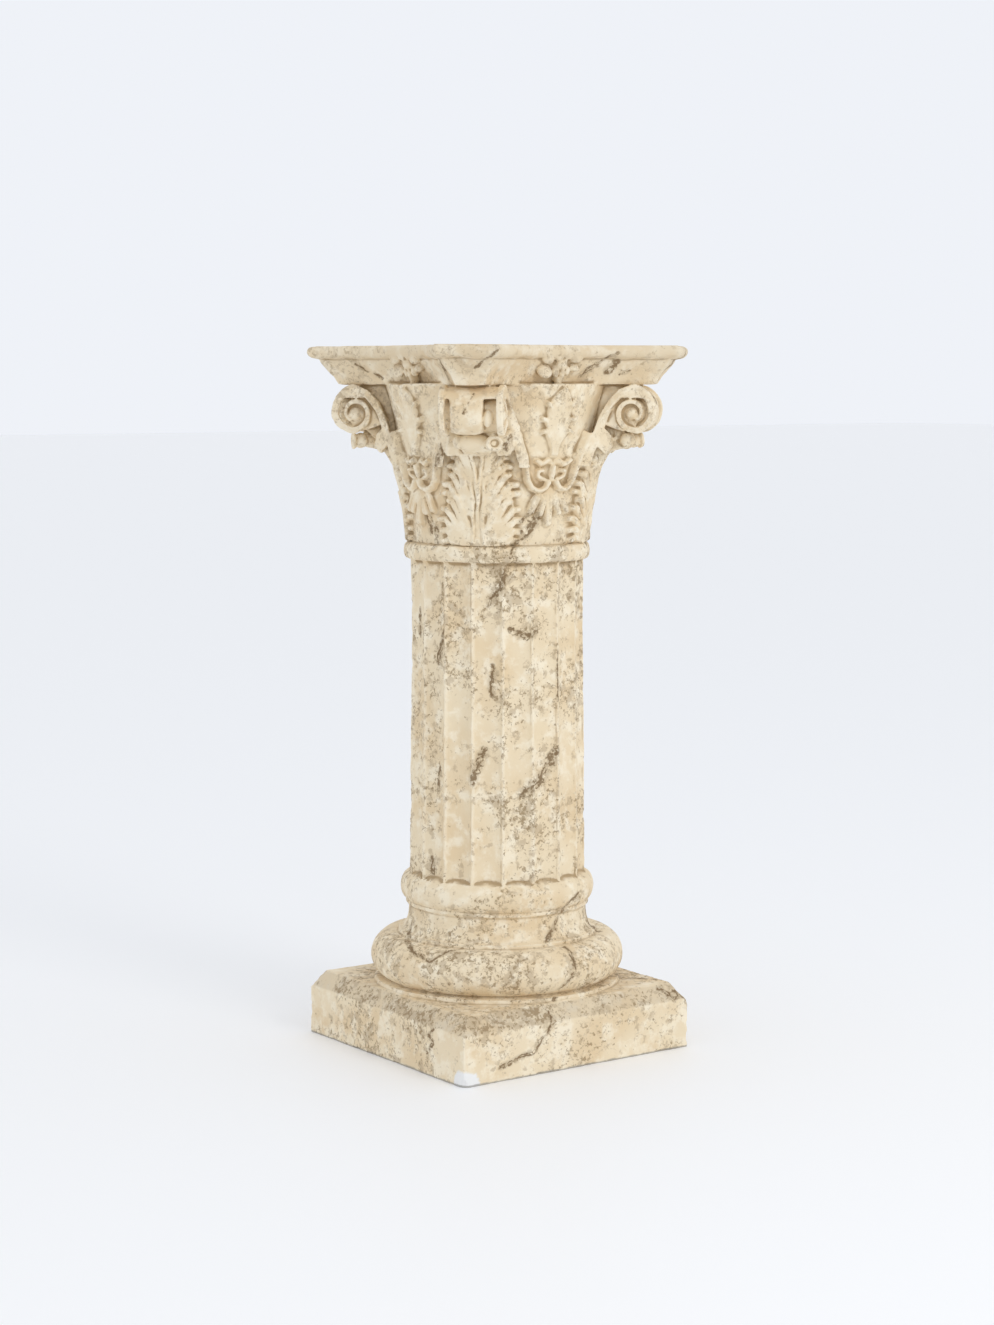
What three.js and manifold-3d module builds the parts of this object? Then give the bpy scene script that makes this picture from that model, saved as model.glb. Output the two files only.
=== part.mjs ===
// Corinthian column pedestal, one painted cast: plinth, moulded base, fluted shaft, leaf capital and abacus.
// Millimetres, +Z up, origin at the middle of the underside. The front face looks along -Y.

import * as THREE from "three";
import { mergeVertices } from "three/addons/utils/BufferGeometryUtils.js";
import Module from "manifold-3d";

const wasm = await Module();
wasm.setup();

// Plinth
const PLINTH_SIDE = 314;
const PLINTH_FACE_HEIGHT = 57;
const PLINTH_BEVEL_RISE = 17;
const PLINTH_BEVEL_RUN = 13;

// Base mouldings, from the plinth upwards
const BASE_FILLET_RADIUS = 141;
const BASE_FILLET_HEIGHT = 4.5;
const TORUS_RADIUS = 145.4;
const TORUS_HEIGHT = 51.5;
const LIP_RADIUS = 112.5;
const LIP_HEIGHT = 4.6;
const CAVETTO_RADIUS = 101.7;
const CAVETTO_HEIGHT = 34.4;
const ASTRAGAL_RADIUS = 111.3;
const ASTRAGAL_HEIGHT = 29;

// Shaft
const SHAFT_HEIGHT = 362.6;
const SHAFT_FOOT_RADIUS = 101.8;
const SHAFT_WAIST_RADIUS = 98.4;
const SHAFT_HEAD_RADIUS = 99.5;
const SHAFT_WAIST_SHARE = 0.78;
const FLUTES = 18;
const FLUTE_DEPTH = 6.5;
const FLUTE_TURN = -2;

// Neck ring
const RING_RADIUS = 105.9;
const RING_HEIGHT = 18.8;

// Bell of the capital
const BELL_HEIGHT = 178.2;
const BELL_FOOT_RADIUS = 98;
const BELL_HEAD_RADIUS = 126;
const BELL_FLARE = 1.8;

// Corner leaves
const CORNER_LEAF_HALF_WIDTH = 41;
const LEAF_THICKNESS = 9;
const LEAF_TIP_REACH = 159;
const LEAF_TIP_RADIUS = 8.5;
const LEAF_TIP_WIDTH = 44;

// Volutes, one pair of spirals with a cushion between them at each corner
const VOLUTE_REACH = 185;
const VOLUTE_RADIUS = 33;
const VOLUTE_WIDTH = 70;
const VOLUTE_RIM = 9;
const CUSHION_WIDTH = 36;
const STEM_RADIUS = 5.5;

// Palmette and small hanging leaf in the middle of each face
const PALMETTE_HALF_WIDTH = 19;
const HANGING_LEAF_HALF_WIDTH = 23;

// Abacus
const ABACUS_HEIGHT = 42.4;
const ABACUS_BAND_HEIGHT = 27;
const ABACUS_CORNER_REACH = 215;
const ABACUS_CORNER_HALF_WIDTH = 36;
const ABACUS_SIDE_REACH = 130;
const FLEURON_WIDTH = 58;

// Facets
const ROUND_STEPS = 30;
const STEPS_PER_FLUTE = 5;
const FACES = 4;

const COLOUR = "#e2d1b5";

// Heights where one stretch ends and the next begins
const plinthTop = PLINTH_FACE_HEIGHT + PLINTH_BEVEL_RISE;
const torusFoot = plinthTop + BASE_FILLET_HEIGHT;
const lipFoot = torusFoot + TORUS_HEIGHT;
const cavettoFoot = lipFoot + LIP_HEIGHT;
const astragalFoot = cavettoFoot + CAVETTO_HEIGHT;
const shaftFoot = astragalFoot + ASTRAGAL_HEIGHT;
const ringFoot = shaftFoot + SHAFT_HEIGHT;
const bellFoot = ringFoot + RING_HEIGHT;
const abacusFoot = bellFoot + BELL_HEIGHT;

const radians = THREE.MathUtils.degToRad;
const quarterTurn = Math.PI / 2;

// The spiral shrinks by this power of e in each quarter turn. Its first turn hangs from the abacus.
const spiralFall = 0.2;
const voluteHeight = abacusFoot - VOLUTE_RADIUS;
const voluteCentre = VOLUTE_REACH - VOLUTE_RADIUS * Math.exp(-spiralFall);
const voluteFoot = voluteHeight - VOLUTE_RADIUS * Math.exp(-2 * spiralFall);

// The leaf's rolled tip lies just under the volute.
const leafTipCentre = LEAF_TIP_REACH - LEAF_TIP_RADIUS;
const leafTipHeight = voluteFoot + 1 - LEAF_TIP_RADIUS;
const leafTipShare = (leafTipHeight - bellFoot) / BELL_HEIGHT;

// Solids are joined as closed meshes that share their vertices.
function solid(geometry) {
  const bare = geometry.clone();
  bare.deleteAttribute("normal");
  bare.deleteAttribute("uv");
  const merged = mergeVertices(bare, 1e-3);
  const vertProperties = merged.attributes.position.array;
  const triVerts = new Uint32Array(merged.index.array);
  return new wasm.Manifold(new wasm.Mesh({ numProp: 3, vertProperties, triVerts }));
}

// Round body about the column's axis, from [radius, height] points that start and end on the axis.
function turned(profile, steps = ROUND_STEPS) {
  const points = profile.map(([radius, height]) => new THREE.Vector2(radius, height));
  return new THREE.LatheGeometry(points, steps).rotateX(Math.PI / 2);
}

// Moves every vertex of a geometry to the place that the function gives for it.
function reshape(geometry, place) {
  const position = geometry.attributes.position;
  const point = new THREE.Vector3();
  for (let i = 0; i < position.count; i++) {
    point.fromBufferAttribute(position, i);
    place(point, i);
    position.setXYZ(i, point.x, point.y, point.z);
  }
  return geometry;
}

// Points of a half-round moulding that stands out to `bulge` between two heights.
function halfRound(foot, head, inner, bulge, steps) {
  const points = [];
  for (let i = 0; i <= steps; i++) {
    const turn = Math.PI * (i / steps);
    const height = (foot + head) / 2 - ((head - foot) / 2) * Math.cos(turn);
    points.push([inner + (bulge - inner) * Math.sin(turn), height]);
  }
  return points;
}

// Point at an azimuth in degrees (0 is the front face, 45 a corner), a radius and a height.
function around(azimuth, radius, height) {
  const turn = radians(azimuth);
  return new THREE.Vector3(radius * Math.sin(turn), -radius * Math.cos(turn), height);
}

function bellHeight(share) {
  return bellFoot + share * BELL_HEIGHT;
}

function bellRadius(share) {
  const flare = Math.pow(THREE.MathUtils.clamp(share, 0, 1), BELL_FLARE);
  return BELL_FOOT_RADIUS + (BELL_HEAD_RADIUS - BELL_FOOT_RADIUS) * flare;
}

// Square plinth: upright faces under a bevelled top edge, turned as a four-sided body.
function plinth() {
  const corner = PLINTH_SIDE / Math.SQRT2;
  const bevelled = (PLINTH_SIDE - 2 * PLINTH_BEVEL_RUN) / Math.SQRT2;
  const profile = [
    [0, 0],
    [corner, 0],
    [corner, PLINTH_FACE_HEIGHT],
    [bevelled, plinthTop],
    [0, plinthTop],
  ];
  return solid(turned(profile, 4).rotateZ(radians(45)));
}

// Fillet, torus, lip, cavetto and astragal, turned in one piece. The astragal's top slopes up to the flutes.
function baseMouldings() {
  const cavetto = [];
  for (let i = 0; i <= 2; i++) {
    const turn = (Math.PI / 2) * (i / 2);
    const hollow = (LIP_RADIUS - CAVETTO_RADIUS) * (1 - Math.sin(turn));
    cavetto.push([CAVETTO_RADIUS + hollow, cavettoFoot + 0.8 * CAVETTO_HEIGHT * (1 - Math.cos(turn))]);
  }
  const profile = [
    [0, plinthTop - 2],
    [BASE_FILLET_RADIUS, plinthTop - 2],
    [BASE_FILLET_RADIUS, torusFoot],
    ...halfRound(torusFoot, lipFoot, LIP_RADIUS + 8, TORUS_RADIUS, 5),
    [LIP_RADIUS, lipFoot],
    ...cavetto,
    ...halfRound(astragalFoot, shaftFoot, CAVETTO_RADIUS + 1, ASTRAGAL_RADIUS, 4).slice(0, -1),
    [SHAFT_FOOT_RADIUS - FLUTE_DEPTH - 1, shaftFoot + FLUTE_DEPTH],
    [0, shaftFoot + FLUTE_DEPTH],
  ];
  return solid(turned(profile));
}

// Fluted shaft: a turned body, slightly waisted, whose wall is hollowed between blunt arrises.
function shaft() {
  const buried = 6;
  const profile = [
    [0, shaftFoot - buried],
    [SHAFT_FOOT_RADIUS, shaftFoot - buried],
    [SHAFT_WAIST_RADIUS, shaftFoot + SHAFT_WAIST_SHARE * SHAFT_HEIGHT],
    [SHAFT_HEAD_RADIUS, ringFoot + buried],
    [0, ringFoot + buried],
  ];
  const pitch = (2 * Math.PI) / FLUTES;
  const turn = pitch / 2 + radians(FLUTE_TURN);
  const halfArris = 0.5 / STEPS_PER_FLUTE;
  const body = turned(profile, FLUTES * STEPS_PER_FLUTE).rotateZ(turn + halfArris * pitch);
  reshape(body, (point) => {
    const radius = Math.hypot(point.x, point.y);
    if (radius < 1) return;
    const steps = (Math.atan2(point.x, -point.y) - turn) / pitch;
    const fromMiddle = Math.abs(steps - Math.floor(steps) - 0.5) / (0.5 - halfArris);
    const hollow = FLUTE_DEPTH * Math.max(0, 1 - fromMiddle ** 2.4);
    point.x *= (radius - hollow) / radius;
    point.y *= (radius - hollow) / radius;
  });
  return solid(body);
}

// Plain ring between shaft and capital, flat below and rounded above.
function neckRing() {
  const seat = bellFoot + 3;
  const profile = [
    [0, ringFoot],
    [RING_RADIUS - 2.5, ringFoot],
    [RING_RADIUS, ringFoot + 0.3 * RING_HEIGHT],
    [RING_RADIUS, ringFoot + 0.7 * RING_HEIGHT],
    [RING_RADIUS - 2.8, bellFoot],
    [BELL_FOOT_RADIUS, seat],
    [0, seat],
  ];
  return solid(turned(profile));
}

// Flared bell behind the leaves, sunk into the ring below and the abacus above.
function bell() {
  const levels = 3;
  const profile = [[0, bellFoot - 3]];
  for (let i = 0; i <= levels; i++) {
    profile.push([bellRadius(i / levels), bellHeight(i / levels) + (i === levels ? 3 : 0)]);
  }
  profile.push([0, abacusFoot + 3]);
  return solid(turned(profile));
}

// Carved leaf on the bell. Its spine is [share of bell height, distance proud of the bell] from root to tip;
// the width and the relief are given along it (0 to 1) and across it (-1 to 1).
function leaf({ azimuth, spine, halfWidth, relief, thickness, columns, rows }) {
  const points = spine.map(
    ([share, proud]) => new THREE.Vector3(bellRadius(share) + proud, bellHeight(share), 0),
  );
  const curve = new THREE.CatmullRomCurve3(points);
  const body = new THREE.BoxGeometry(1, 1, 1, columns, rows, 1);
  reshape(body, (point) => {
    const along = point.y + 0.5;
    const across = point.x * 2;
    const centre = curve.getPointAt(along);
    const heading = curve.getTangentAt(along);
    const depth = point.z > 0 ? relief(across, along) : -thickness;
    const radius = centre.x + heading.y * depth;
    const height = centre.y - heading.x * depth;
    const turn = radians(azimuth) + (across * halfWidth(along)) / centre.x;
    point.set(radius * Math.sin(turn), -radius * Math.cos(turn), height);
  });
  return solid(body);
}

// Tall acanthus leaf under each volute: tiers of lobes that lift off its sides, and a raised rib.
function cornerLeaf(azimuth) {
  const rows = 9;
  const rowsPerTier = 3;
  const tier = (along) => ((along * rows) / rowsPerTier) % 1;
  return leaf({
    azimuth,
    spine: [
      [0, 6.5],
      [0.24, 8.5],
      [0.4, 10],
      [0.53, 14.5],
      [0.6, 22],
      [leafTipShare, leafTipCentre - bellRadius(leafTipShare)],
    ],
    halfWidth: (along) => {
      const taper = 1 - 0.55 * THREE.MathUtils.smoothstep(along, 0.6, 0.85);
      return CORNER_LEAF_HALF_WIDTH * taper * (0.8 + 0.2 * Math.sin(Math.PI * tier(along)));
    },
    relief: (across, along) => {
      const side = Math.abs(across);
      const rib = 3.5 * Math.exp(-((side / 0.2) ** 2));
      return rib - 1.5 + side * (5 * tier(along) - 2);
    },
    thickness: LEAF_THICKNESS,
    columns: 6,
    rows,
  });
}

// Rolled tip of the leaf, out under the volute.
function leafTip(azimuth) {
  const sides = 7;
  const points = [];
  for (let i = 0; i < sides; i++) {
    const turn = (2 * Math.PI * i) / sides;
    const x = leafTipCentre - voluteCentre + LEAF_TIP_RADIUS * Math.cos(turn);
    points.push(new THREE.Vector2(x, leafTipHeight - voluteHeight + LEAF_TIP_RADIUS * Math.sin(turn)));
  }
  return acrossCorner(azimuth, new THREE.Shape(points), -LEAF_TIP_WIDTH / 2, LEAF_TIP_WIDTH);
}

// Flame-lobed palmette that stands up the middle of each face.
function palmette(azimuth) {
  return leaf({
    azimuth,
    spine: [
      [0.5, 2],
      [0.66, 4.5],
      [0.82, 5],
      [0.96, 4],
    ],
    halfWidth: (along) => {
      const swell = 0.45 + 0.55 * Math.sin(Math.PI * THREE.MathUtils.clamp(along * 1.1, 0, 1));
      return PALMETTE_HALF_WIDTH * swell * (1 - 0.25 * Math.abs(Math.sin(3 * Math.PI * along)));
    },
    relief: (across, along) => {
      const rib = 4 * Math.exp(-((across / 0.4) ** 2));
      return rib + 1.5 * Math.sin(3 * Math.PI * along) * across ** 2;
    },
    thickness: LEAF_THICKNESS,
    columns: 4,
    rows: 4,
  });
}

// Small leaf that hangs below the meeting of the two stems.
function hangingLeaf(azimuth) {
  return leaf({
    azimuth,
    spine: [
      [0.14, 3],
      [0.26, 5.5],
      [0.38, 6],
    ],
    halfWidth: (along) => {
      const swell = Math.sin(quarterTurn * Math.min(1, along * 1.4));
      return HANGING_LEAF_HALF_WIDTH * (0.15 + 0.85 * swell);
    },
    relief: (across) => 2 * Math.cos(2 * Math.PI * across) - 2 * across * across,
    thickness: LEAF_THICKNESS,
    columns: 4,
    rows: 2,
  });
}

// Point of the logarithmic spiral, in the upright plane through a corner, from the top outwards and down.
function spiralPoint(turn, scale) {
  const radius = scale * VOLUTE_RADIUS * Math.exp((-spiralFall * turn) / quarterTurn);
  return new THREE.Vector2(radius * Math.sin(turn), radius * Math.cos(turn));
}

// Sets a shape drawn in the corner's upright plane to a width across the corner.
function acrossCorner(azimuth, shape, from, width) {
  const body = new THREE.ExtrudeGeometry(shape, { depth: width, bevelEnabled: false, steps: 1 });
  const radial = around(azimuth, 1, 0);
  const up = new THREE.Vector3(0, 0, 1);
  const sideways = new THREE.Vector3().crossVectors(radial, up);
  const frame = new THREE.Matrix4().makeBasis(radial, up, sideways);
  const centre = around(azimuth, voluteCentre, voluteHeight).addScaledVector(sideways, from);
  return solid(body.applyMatrix4(frame.setPosition(centre)));
}

// Solid disc inside the spiral's first turn.
function spiralDisc(scale, steps) {
  const points = [];
  for (let i = 0; i <= steps; i++) {
    points.push(spiralPoint(((i / steps) * 3.4 - 0.2) * quarterTurn, scale));
  }
  return new THREE.Shape(points.reverse());
}

// Raised band that winds in to the eye.
function spiralBand() {
  const steps = 12;
  const outer = [];
  const inner = [];
  for (let i = 0; i <= steps; i++) {
    const turn = ((i / steps) * 5.6 - 0.3) * quarterTurn;
    outer.push(spiralPoint(turn, 1));
    inner.push(spiralPoint(turn, 0.66));
  }
  return new THREE.Shape([...outer.reverse(), ...inner]);
}

// Volute at a corner: two rims with a raised spiral and an eye, and a cushion between them.
function volute(azimuth) {
  const side = VOLUTE_WIDTH / 2;
  const recess = 5;
  const pieces = [
    acrossCorner(azimuth, spiralDisc(0.95, 8), -CUSHION_WIDTH / 2, CUSHION_WIDTH),
    acrossCorner(azimuth, spiralDisc(0.74, 6), -side + recess, VOLUTE_WIDTH - 2 * recess),
    acrossCorner(azimuth, spiralBand(), -side, VOLUTE_RIM),
    acrossCorner(azimuth, spiralBand(), side - VOLUTE_RIM, VOLUTE_RIM),
  ];
  const eye = new THREE.Shape().absarc(0, 0, 0.2 * VOLUTE_RADIUS, 0, 2 * Math.PI);
  const eyeShape = new THREE.Shape(eye.getPoints(3).slice(1));
  pieces.push(acrossCorner(azimuth, eyeShape, -side, VOLUTE_WIDTH));
  return pieces;
}

// Web between the bell and the back of a volute, up to the abacus.
function web(azimuth) {
  const foot = bellHeight(0.5) - voluteHeight;
  const head = abacusFoot + 2 - voluteHeight;
  const back = BELL_FOOT_RADIUS - 10 - voluteCentre;
  const shape = new THREE.Shape([
    new THREE.Vector2(back, foot),
    new THREE.Vector2(-0.9 * VOLUTE_RADIUS, -1.1 * VOLUTE_RADIUS),
    new THREE.Vector2(0, -0.5 * VOLUTE_RADIUS),
    new THREE.Vector2(0, head),
    new THREE.Vector2(back, head),
  ]);
  return acrossCorner(azimuth, shape, -CUSHION_WIDTH / 2, CUSHION_WIDTH);
}

// Stem that hooks at the foot of the face, climbs beside the palmette and runs into the volute's rim.
function stem(faceAzimuth, hand) {
  const rimTurn = 45 - THREE.MathUtils.radToDeg(Math.atan(VOLUTE_WIDTH / 2 / voluteCentre));
  const route = [
    [3, 0.4, 3],
    [5, 0.355, 3],
    [9.5, 0.335, 3],
    [14, 0.36, 3.5],
    [17, 0.42, 4],
    [20, 0.56, 6],
    [25, 0.7, 11],
    [0.93 * rimTurn, 0.83, 15],
    [rimTurn + 1, 0.95, 26],
  ];
  const points = route.map(([azimuth, share, proud]) =>
    around(faceAzimuth + hand * azimuth, bellRadius(share) + proud, bellHeight(share)),
  );
  const section = [];
  const sides = 4;
  for (let i = 0; i < sides; i++) {
    const turn = (2 * Math.PI * i) / sides;
    section.push(new THREE.Vector2(STEM_RADIUS * Math.cos(turn), STEM_RADIUS * Math.sin(turn)));
  }
  const path = new THREE.CatmullRomCurve3(points);
  return solid(new THREE.ExtrudeGeometry(new THREE.Shape(section), { steps: 8, extrudePath: path }));
}

// Rounded petal or bud: a squashed ball set at a place across and up a face.
function bud(faceAzimuth, offset, radius, height, size) {
  const ball = new THREE.SphereGeometry(1, 5, 3).scale(size[0], size[1], size[2]);
  ball.translate(offset, -radius, height).rotateZ(radians(faceAzimuth));
  return solid(ball);
}

// Fleuron on the middle of the abacus: two petals a side and a bud.
function fleuron(faceAzimuth) {
  const petal = FLEURON_WIDTH / 6;
  const across = FLEURON_WIDTH / 2 - petal;
  const upper = abacusFoot + 0.69 * ABACUS_HEIGHT;
  const lower = abacusFoot + 0.3 * ABACUS_HEIGHT;
  const middle = (upper + lower) / 2;
  const pieces = [bud(faceAzimuth, 0, ABACUS_SIDE_REACH - 7, middle, [1.1 * petal, 12, 1.5 * petal])];
  for (const hand of [-1, 1]) {
    pieces.push(bud(faceAzimuth, hand * across, ABACUS_SIDE_REACH - 5, upper, [petal, 8, 0.9 * petal]));
    pieces.push(bud(faceAzimuth, hand * across, ABACUS_SIDE_REACH - 12, lower, [petal, 8, 0.9 * petal]));
  }
  return pieces;
}

// Outline of the abacus in plan, set in from its roll: four hollow sides between four cut-off corners.
function abacusOutline(inset, stepsPerSide) {
  const endOut = (ABACUS_CORNER_REACH + ABACUS_CORNER_HALF_WIDTH) / Math.SQRT2;
  const endAcross = (ABACUS_CORNER_REACH - ABACUS_CORNER_HALF_WIDTH) / Math.SQRT2;
  const sagitta = endOut - ABACUS_SIDE_REACH;
  const sideRadius = (endAcross ** 2 + sagitta ** 2) / (2 * sagitta);
  const centreOut = ABACUS_SIDE_REACH + sideRadius;
  const hollow = sideRadius + inset;
  const cut = (ABACUS_CORNER_REACH - inset) * Math.SQRT2;
  // The inset arc meets the inset corner where across + out = cut.
  const gap = cut - centreOut;
  const across = (gap + Math.sqrt(2 * hollow ** 2 - gap ** 2)) / 2;
  const halfTurn = Math.asin(across / hollow);
  const outline = [];
  for (let face = 0; face < FACES; face++) {
    for (let i = 0; i <= stepsPerSide; i++) {
      const turn = halfTurn * ((2 * i) / stepsPerSide - 1);
      const x = hollow * Math.sin(turn);
      const y = -centreOut + hollow * Math.cos(turn);
      outline.push(new THREE.Vector2(x, y).rotateAround(new THREE.Vector2(), quarterTurn * face));
    }
  }
  return outline;
}

// Abacus: a leaning band under a rounded roll, turned as a round body and then drawn out to its plan.
function abacus() {
  const stepsPerSide = 7;
  const roll = ABACUS_HEIGHT - ABACUS_BAND_HEIGHT;
  const rows = [
    [25, 0],
    [21, 0.3 * ABACUS_BAND_HEIGHT],
    [10.5, 0.92 * ABACUS_BAND_HEIGHT],
    [12, ABACUS_BAND_HEIGHT],
    [3.5, ABACUS_BAND_HEIGHT + 0.12 * roll],
    [0, ABACUS_BAND_HEIGHT + 0.6 * roll],
    [4.5, ABACUS_HEIGHT],
  ];
  const profile = [[0, 0], ...rows.map(([, height]) => [1, height]), [0, ABACUS_HEIGHT]];
  const count = FACES * (stepsPerSide + 1);
  const outlines = rows.map(([inset]) => abacusOutline(inset, stepsPerSide));
  const body = turned(profile, count);
  reshape(body, (point, index) => {
    const row = (index % profile.length) - 1;
    point.z += abacusFoot;
    if (row < 0 || row >= rows.length) return;
    const corner = outlines[row][Math.floor(index / profile.length) % count];
    point.x = corner.x;
    point.y = corner.y;
  });
  return solid(body);
}

const pieces = [plinth(), baseMouldings(), shaft(), neckRing(), bell(), abacus()];
for (let face = 0; face < FACES; face++) {
  const faceAzimuth = (360 / FACES) * face;
  const cornerAzimuth = faceAzimuth + 180 / FACES;
  pieces.push(palmette(faceAzimuth), hangingLeaf(faceAzimuth), ...fleuron(faceAzimuth));
  pieces.push(stem(faceAzimuth, -1), stem(faceAzimuth, 1));
  pieces.push(cornerLeaf(cornerAzimuth), leafTip(cornerAzimuth));
  pieces.push(web(cornerAzimuth), ...volute(cornerAzimuth));
}
const cast = pieces.reduce((whole, piece) => whole.add(piece));

const joined = cast.getMesh();
const geometry = new THREE.BufferGeometry();
geometry.setAttribute("position", new THREE.BufferAttribute(joined.vertProperties, joined.numProp));
geometry.setIndex(new THREE.BufferAttribute(joined.triVerts, 1));
geometry.computeVertexNormals();

const paint = new THREE.MeshStandardMaterial({ color: COLOUR, roughness: 0.85, metalness: 0 });
const column = new THREE.Mesh(geometry, paint);
column.name = "column";
const part = new THREE.Group();
part.add(column);
export default part;
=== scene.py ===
import math
import random

import bmesh
import bpy
import numpy as np
from mathutils import Matrix, Vector


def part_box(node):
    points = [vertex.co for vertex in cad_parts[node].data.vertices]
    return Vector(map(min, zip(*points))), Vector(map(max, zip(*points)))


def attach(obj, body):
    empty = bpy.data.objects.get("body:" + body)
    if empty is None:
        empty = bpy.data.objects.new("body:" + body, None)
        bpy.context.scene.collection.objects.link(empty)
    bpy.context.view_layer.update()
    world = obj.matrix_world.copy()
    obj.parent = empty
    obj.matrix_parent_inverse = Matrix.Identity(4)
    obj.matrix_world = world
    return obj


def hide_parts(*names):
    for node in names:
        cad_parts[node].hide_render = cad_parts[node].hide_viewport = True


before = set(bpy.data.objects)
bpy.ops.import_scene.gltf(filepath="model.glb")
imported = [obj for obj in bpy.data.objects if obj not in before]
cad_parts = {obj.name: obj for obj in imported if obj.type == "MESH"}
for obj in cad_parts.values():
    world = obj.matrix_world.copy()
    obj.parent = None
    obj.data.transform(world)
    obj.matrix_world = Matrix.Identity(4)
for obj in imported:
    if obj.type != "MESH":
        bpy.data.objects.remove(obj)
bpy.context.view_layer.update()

node_low, node_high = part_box("column")

# The room: a plain pale floor and an even pale backdrop, with soft daylight from the front right.
# The camera stands a little above the column's top and looks down at the plinth's near corner.
camera_azimuth = math.radians(-35.77)
camera_distance = 3.024
camera_height = 0.7647
camera_pitch = math.radians(83.87)
column_middle = 0.4

camera = bpy.data.objects.new("camera", bpy.data.cameras.new("camera"))
camera.data.lens = 72.16
camera.data.sensor_width = 36
camera.location = (
    camera_distance * math.sin(camera_azimuth),
    -camera_distance * math.cos(camera_azimuth),
    camera_height,
)
camera.rotation_euler = (camera_pitch, 0, camera_azimuth)
bpy.context.collection.objects.link(camera)
bpy.context.scene.camera = camera

bpy.ops.object.select_all(action="DESELECT")
bpy.ops.mesh.primitive_plane_add(size=60, location=(0, 0, 0))
floor = bpy.context.object
floor.name = "floor"
floor_paint = bpy.data.materials.new("floor_paint")
floor_paint.use_nodes = True
floor_shader = floor_paint.node_tree.nodes["Principled BSDF"]
floor_shader.inputs["Base Color"].default_value = (0.96, 0.96, 0.955, 1)
floor_shader.inputs["Roughness"].default_value = 0.6
floor.data.materials.append(floor_paint)

sky = bpy.data.worlds.new("sky")
sky.use_nodes = True
daylight = sky.node_tree.nodes["Background"]
daylight.inputs["Color"].default_value = (0.895, 0.92, 0.97, 1)
daylight.inputs["Strength"].default_value = 0.965
bpy.context.scene.world = sky
bpy.context.scene.view_settings.view_transform = "Standard"


def window(name, azimuth, distance, height, size, power, colour):
    """A large soft light that looks at the middle of the column."""
    lamp = bpy.data.objects.new(name, bpy.data.lights.new(name, "AREA"))
    lamp.data.size = size
    lamp.data.energy = power
    lamp.data.color = colour
    turn = math.radians(azimuth)
    lamp.location = (distance * math.sin(turn), -distance * math.cos(turn), height)
    aim = Vector((0, 0, column_middle)) - lamp.location
    lamp.rotation_euler = aim.to_track_quat("-Z", "Y").to_euler()
    bpy.context.collection.objects.link(lamp)


window(
    "window_right", azimuth=6, distance=3.0, height=2.1, size=1.0, power=18.5,
    colour=(1.0, 0.975, 0.93),
)

# Plinth: a square block with upright faces and a sloped shoulder, cast in plaster with the rest.
# Its arrises are blunt, as they come out of a worn mould.
mm = 0.001
plinth_side = 314 * mm
plinth_face = 57 * mm
plinth_top = 74 * mm
shoulder_run = 13 * mm

bpy.ops.object.select_all(action="DESELECT")
bpy.ops.mesh.primitive_cube_add(size=1, location=(0, 0, plinth_face / 2))
plinth = bpy.context.object
plinth.name = "plinth"
plinth.scale = (plinth_side, plinth_side, plinth_face)
bpy.ops.object.transform_apply(location=True, scale=True)
bpy.ops.object.mode_set(mode="EDIT")
bpy.ops.mesh.select_mode(type="FACE")
bpy.ops.mesh.select_all(action="DESELECT")
body = bmesh.from_edit_mesh(plinth.data)
for face in body.faces:
    face.select = face.normal.z > 0.5
bmesh.update_edit_mesh(plinth.data)
rise = plinth_top - plinth_face
bpy.ops.mesh.extrude_region_move(TRANSFORM_OT_translate={"value": (0, 0, rise)})
shrink = 1 - 2 * shoulder_run / plinth_side
bpy.ops.transform.resize(value=(shrink, shrink, 1), center_override=(0, 0, plinth_top))
bpy.ops.object.mode_set(mode="OBJECT")
blunt = plinth.modifiers.new("blunt", "BEVEL")
blunt.width = 0.9 * mm
blunt.segments = 1
blunt.limit_method = "ANGLE"
blunt.angle_limit = math.radians(20)
bpy.ops.object.modifier_apply(modifier="blunt")
foot_parts = [plinth]

# Base mouldings: fillet, torus, lip, cavetto and astragal, one turned run under the shaft.
# The run is drawn up from a disc, ring by ring, so that it is closed at both ends. A fine groove
# under the lip and a fillet under the astragal part the mouldings.
fillet_radius = 141 * mm
torus_radius = 145.4 * mm
torus_foot = 78.5 * mm
torus_head = 130 * mm
lip_radius = 112.5 * mm
lip_edge = 1.5 * mm
lip_head = 134.6 * mm
cavetto_radius = 101.7 * mm
cavetto_steps = 12
necking = 3.4 * mm
astragal_radius = 111.3 * mm
astragal_foot = 169 * mm
shaft_foot = 198 * mm
flute_depth = 6.5 * mm
core_radius = 94 * mm


def turned(name, profile, steps=288):
    """A round body about the column's axis from (radius, height) points."""
    bpy.ops.object.select_all(action="DESELECT")
    radius, height = profile[0]
    bpy.ops.mesh.primitive_circle_add(
        vertices=steps, radius=radius, fill_type="NGON", location=(0, 0, height)
    )
    piece = bpy.context.object
    piece.name = name
    bpy.ops.object.transform_apply(location=True)
    bpy.ops.object.mode_set(mode="EDIT")
    bpy.ops.mesh.select_all(action="SELECT")
    for (before, low), (after, high) in zip(profile, profile[1:]):
        bpy.ops.mesh.extrude_region_move(TRANSFORM_OT_translate={"value": (0, 0, high - low)})
        grow = after / before
        bpy.ops.transform.resize(value=(grow, grow, 1), center_override=(0, 0, high))
    bpy.ops.mesh.select_all(action="SELECT")
    bpy.ops.mesh.normals_make_consistent(inside=False)
    bpy.ops.object.mode_set(mode="OBJECT")
    return piece


def half_round(foot, head, inner, bulge, steps):
    """Points of a moulding that swells from inner to bulge between two heights."""
    points = []
    for step in range(steps + 1):
        turn = math.pi * step / steps
        height = (foot + head) / 2 - (head - foot) / 2 * math.cos(turn)
        points.append((inner + (bulge - inner) * math.sin(turn), height))
    return points


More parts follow.
